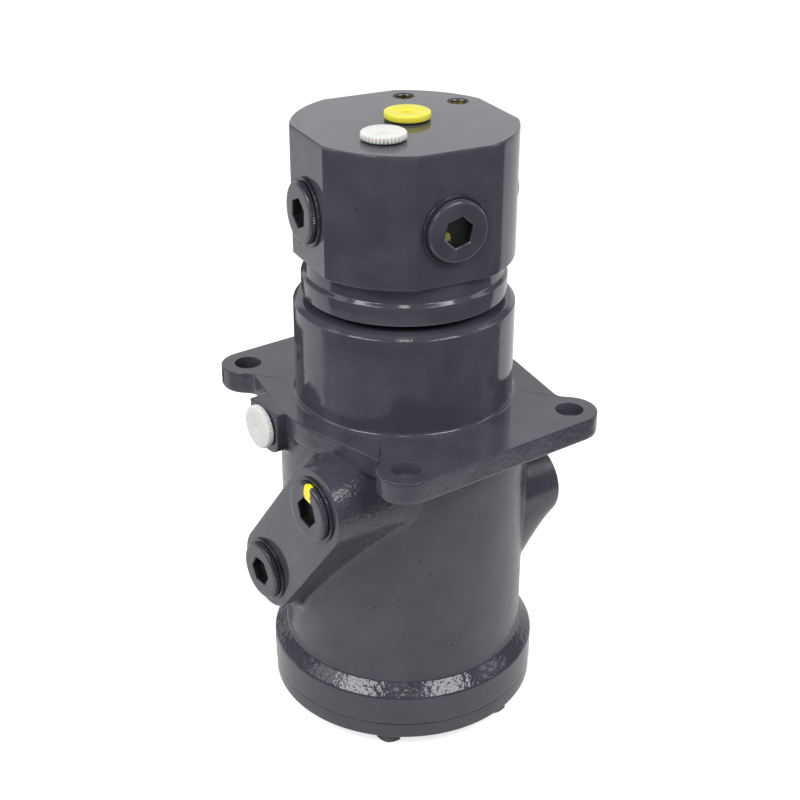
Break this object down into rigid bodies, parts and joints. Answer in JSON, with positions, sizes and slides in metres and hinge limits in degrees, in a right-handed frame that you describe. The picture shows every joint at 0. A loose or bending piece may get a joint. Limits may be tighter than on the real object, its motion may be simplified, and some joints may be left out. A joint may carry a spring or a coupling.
{
  "type": "hydraulic rotary union",
  "caption": "Flanged hydraulic swivel joint: a ported spindle head turns on a cast housing with plugged side ports and a bolted bottom cover.",
  "frame": {"origin": "on the spindle's axis at the upper face of the mounting flange", "axes": "+Z along the spindle towards the ported head; -X square to the side that carries the pilot boss; Y along the longer spacing of the flange bolts"},
  "size_m": [0.2065, 0.216, 0.4122],
  "materials": {
    "housing_paint": "gloss enamel over cast and machined iron",
    "spindle_paint": "gloss enamel over turned steel",
    "cover_paint": "gloss enamel over machined steel",
    "bolt_paint": "gloss enamel over steel bolts",
    "plug_paint": "gloss enamel over steel screw plugs",
    "bonded_seal_paint": "gloss enamel over bonded seal rings",
    "ptfe_compound": "machined bronze-filled PTFE",
    "nitrile_rubber": "moulded nitrile",
    "wiper_rubber": "moulded nitrile wiper",
    "bronze": "turned bronze",
    "bare_steel": "turned steel, oiled",
    "white_cap_plastic": "moulded polyethylene",
    "yellow_cap_plastic": "moulded polyethylene"
  },
  "bodies": {
    "housing": {"housing": "housing_paint", "bottom_cover": "cover_paint", "cover_bolts": "bolt_paint", "cover_bolt_washers": "bolt_paint", "slipper_seal_1": "ptfe_compound", "slipper_seal_2": "ptfe_compound", "slipper_seal_3": "ptfe_compound", "slipper_seal_4": "ptfe_compound", "slipper_seal_5": "ptfe_compound", "slipper_seal_6": "ptfe_compound", "slipper_seal_7": "ptfe_compound", "seal_backing_ring_1": "nitrile_rubber", "seal_backing_ring_2": "nitrile_rubber", "seal_backing_ring_3": "nitrile_rubber", "seal_backing_ring_4": "nitrile_rubber", "seal_backing_ring_5": "nitrile_rubber", "seal_backing_ring_6": "nitrile_rubber", "seal_backing_ring_7": "nitrile_rubber", "upper_guide_ring": "ptfe_compound", "lower_guide_ring": "ptfe_compound", "wiper_seal": "wiper_rubber", "cover_seal_ring": "nitrile_rubber", "upper_thrust_washer": "bronze", "lower_thrust_washer": "bronze", "housing_port_1_plug": "plug_paint", "housing_port_2_plug": "plug_paint", "housing_port_3_plug": "plug_paint", "housing_port_4_plug": "plug_paint", "housing_port_1_seal": "bonded_seal_paint", "housing_port_2_seal": "bonded_seal_paint", "housing_port_3_seal": "bonded_seal_paint", "housing_port_4_seal": "bonded_seal_paint"},
    "spindle": {"spindle": "spindle_paint", "thrust_plate": "bare_steel", "thrust_plate_screws": "bare_steel", "gallery_plugs": "bare_steel", "head_port_1_plug": "plug_paint", "head_port_2_plug": "plug_paint", "head_port_3_plug": "plug_paint", "head_port_4_plug": "plug_paint", "head_port_1_seal": "bonded_seal_paint", "head_port_2_seal": "bonded_seal_paint", "head_port_3_seal": "bonded_seal_paint", "head_port_4_seal": "bonded_seal_paint"},
    "pilot_top_cap": {"pilot_top_cap": "white_cap_plastic"},
    "drain_top_cap": {"drain_top_cap": "yellow_cap_plastic"},
    "pilot_side_cap": {"pilot_side_cap": "white_cap_plastic"},
    "drain_side_cap": {"drain_side_cap": "yellow_cap_plastic"}
  },
  "joints": [
    {"name": "spindle_turn", "type": "hinge", "parent": "housing", "child": "spindle", "pos_m": [0, 0, 0], "axis": [0, 0, 1], "continuous": true},
    {"name": "pilot_top_cap_pull", "type": "slide", "parent": "spindle", "child": "pilot_top_cap", "axis": [0, 0, 1], "range_m": [0, 0.02]},
    {"name": "drain_top_cap_pull", "type": "slide", "parent": "spindle", "child": "drain_top_cap", "axis": [0, 0, 1], "range_m": [0, 0.02]},
    {"name": "pilot_side_cap_pull", "type": "slide", "parent": "housing", "child": "pilot_side_cap", "axis": [-1, 0, 0], "range_m": [0, 0.02]},
    {"name": "drain_side_cap_pull", "type": "slide", "parent": "housing", "child": "drain_side_cap", "axis": [1, 0, 0], "range_m": [0, 0.02]}
  ]
}
